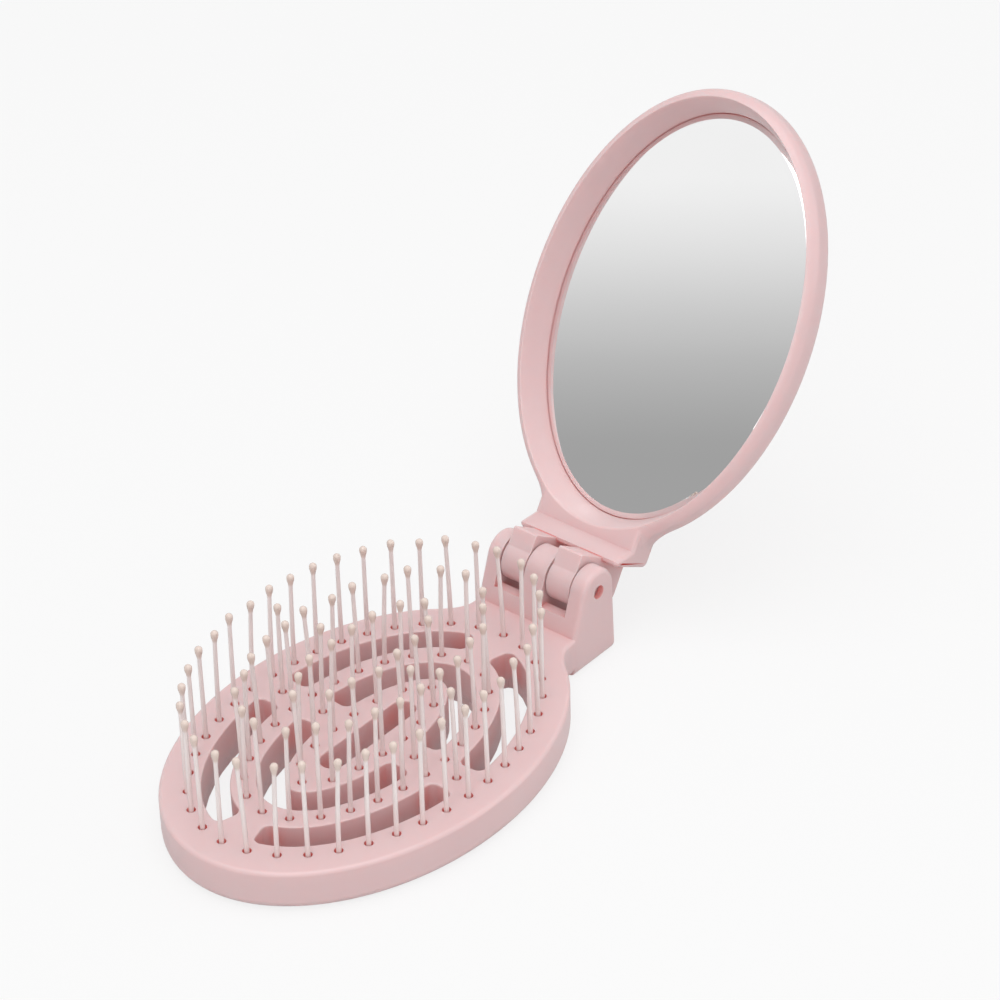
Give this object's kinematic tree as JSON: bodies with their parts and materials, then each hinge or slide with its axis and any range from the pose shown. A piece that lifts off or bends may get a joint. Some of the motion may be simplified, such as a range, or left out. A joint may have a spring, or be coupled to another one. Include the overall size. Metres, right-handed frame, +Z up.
{
  "type": "folding hairbrush with mirror",
  "caption": "Pocket hairbrush with an oval vented quill face and an oval framed mirror that fold together on one pin hinge.",
  "frame": {"origin": "centre of the oval brush half, on the flat back it lies on", "axes": "+X along the brush towards the hinge, +Y across it, +Z up, the way the quills point"},
  "size_m": [0.1593, 0.0618, 0.0918],
  "materials": {
    "shell": "pearly pink, satin to semi-gloss",
    "quills": "milky translucent nylon",
    "pin": "bright drawn steel",
    "mirror": "silvered glass with a bevelled edge",
    "film": "double-sided adhesive film"
  },
  "bodies": {
    "brush": {"brush_frame": "shell", "brush_back": "shell", "outer_quills": "quills", "middle_quills": "quills", "inner_quills": "quills", "bridge_quills": "quills", "hinge_pin": "pin"},
    "mirror": {"mirror_frame": "shell", "mirror_glass": "mirror", "mirror_pad": "film"}
  },
  "joints": [
    {"name": "fold", "type": "hinge", "parent": "brush", "child": "mirror", "pos_m": [0.0525, 0, 0.0152], "axis": [0, -1, 0], "range_deg": [-57.5, 122.5]}
  ]
}
